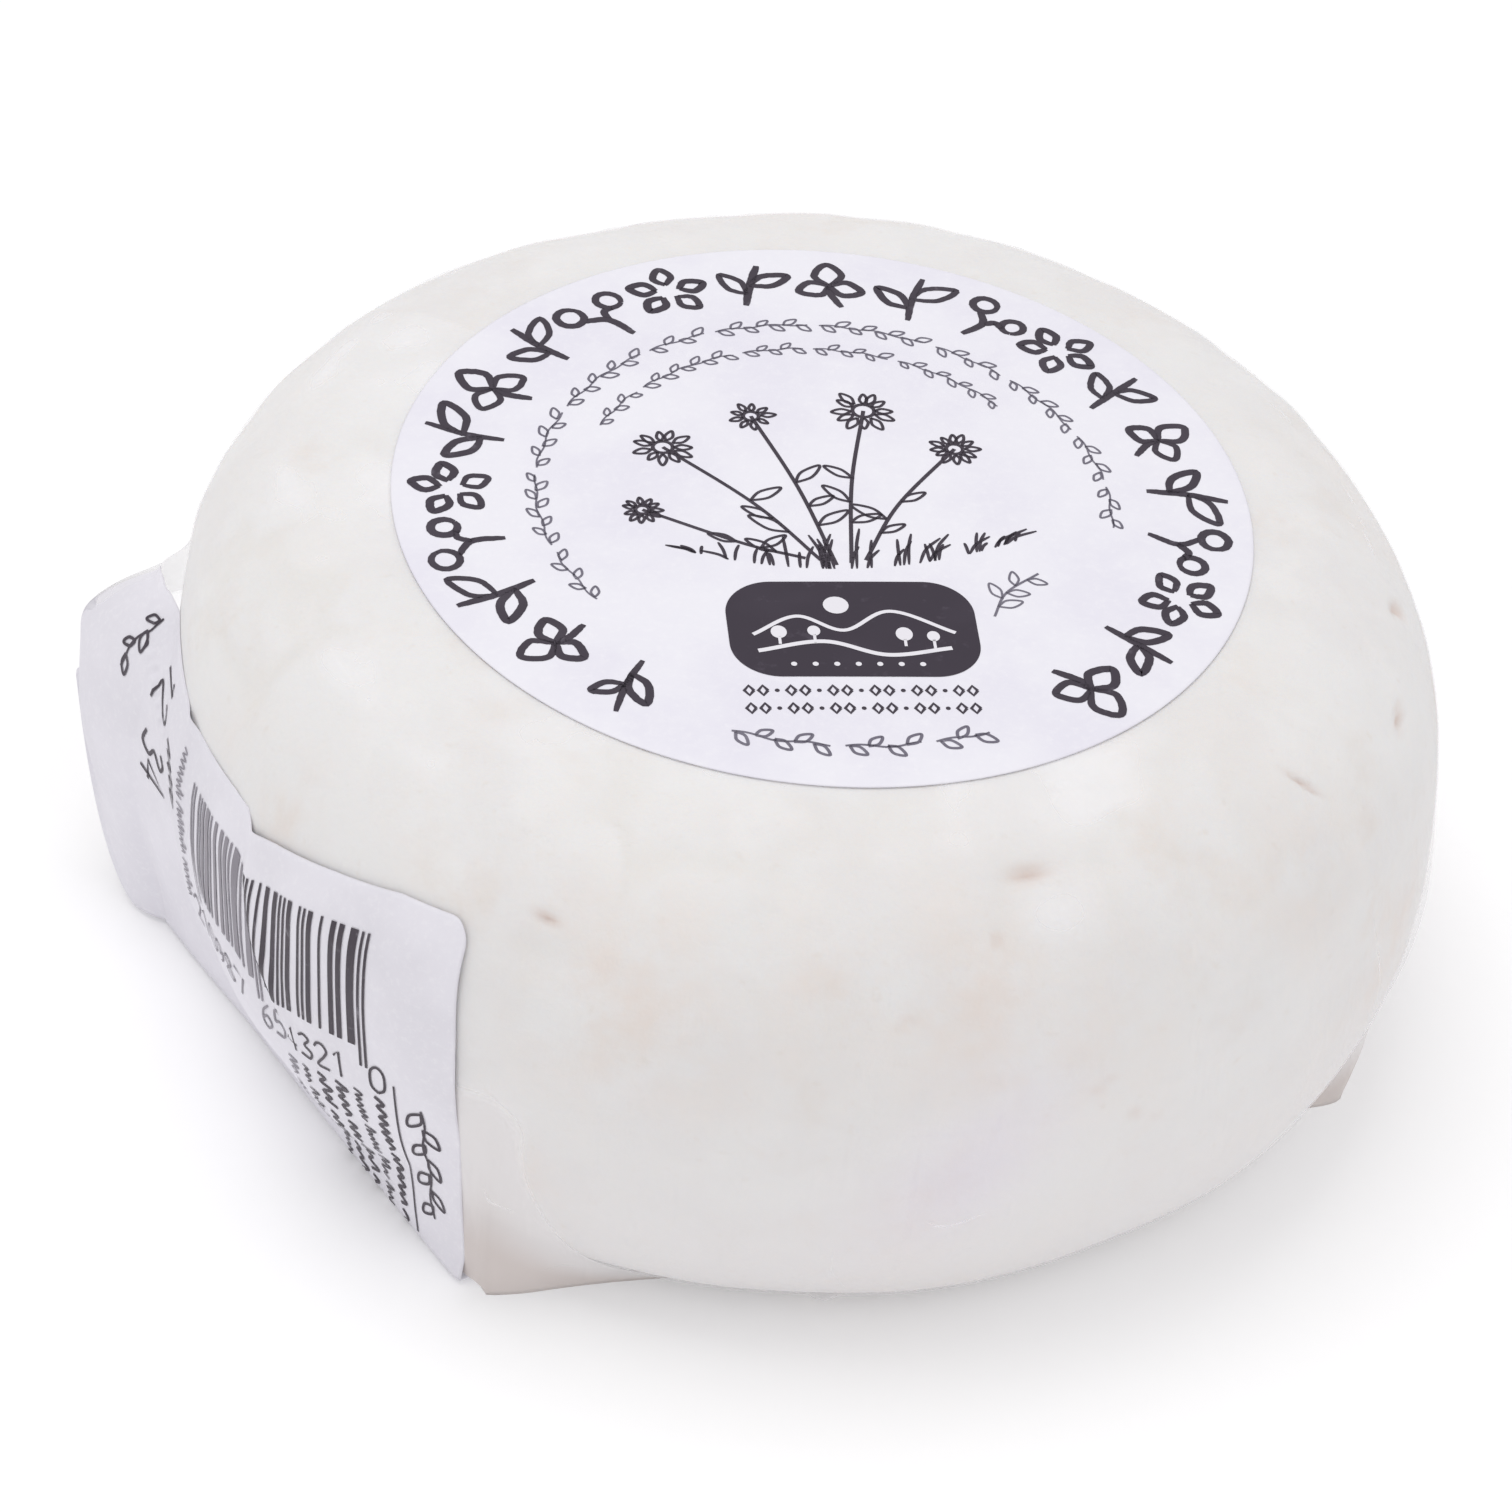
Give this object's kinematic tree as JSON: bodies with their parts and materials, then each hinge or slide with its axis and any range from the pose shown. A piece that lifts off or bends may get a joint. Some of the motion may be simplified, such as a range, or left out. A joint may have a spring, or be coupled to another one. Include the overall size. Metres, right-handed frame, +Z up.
{
  "type": "wrapped round goat cheese",
  "caption": "Small round of fresh white goat cheese, tightly wrapped in clear film, with a round paper label on top and a paper label folded round its side and base.",
  "frame": {"origin": "centre of the flat underside that the cheese rests on", "axes": "+Z up out of the round top label, +Y to the back; the side label folds over the front left"},
  "size_m": [0.0951, 0.088, 0.0393],
  "materials": {
    "wrapped_cheese": "moist white fresh cheese under tight clear film, softly glossy",
    "top_label_paper": "smooth coated paper, printed",
    "side_label_paper": "smooth thermal paper, printed"
  },
  "bodies": {
    "root": {"wrapped_cheese": "wrapped_cheese", "top_label": "top_label_paper", "side_label": "side_label_paper"}
  },
  "joints": []
}
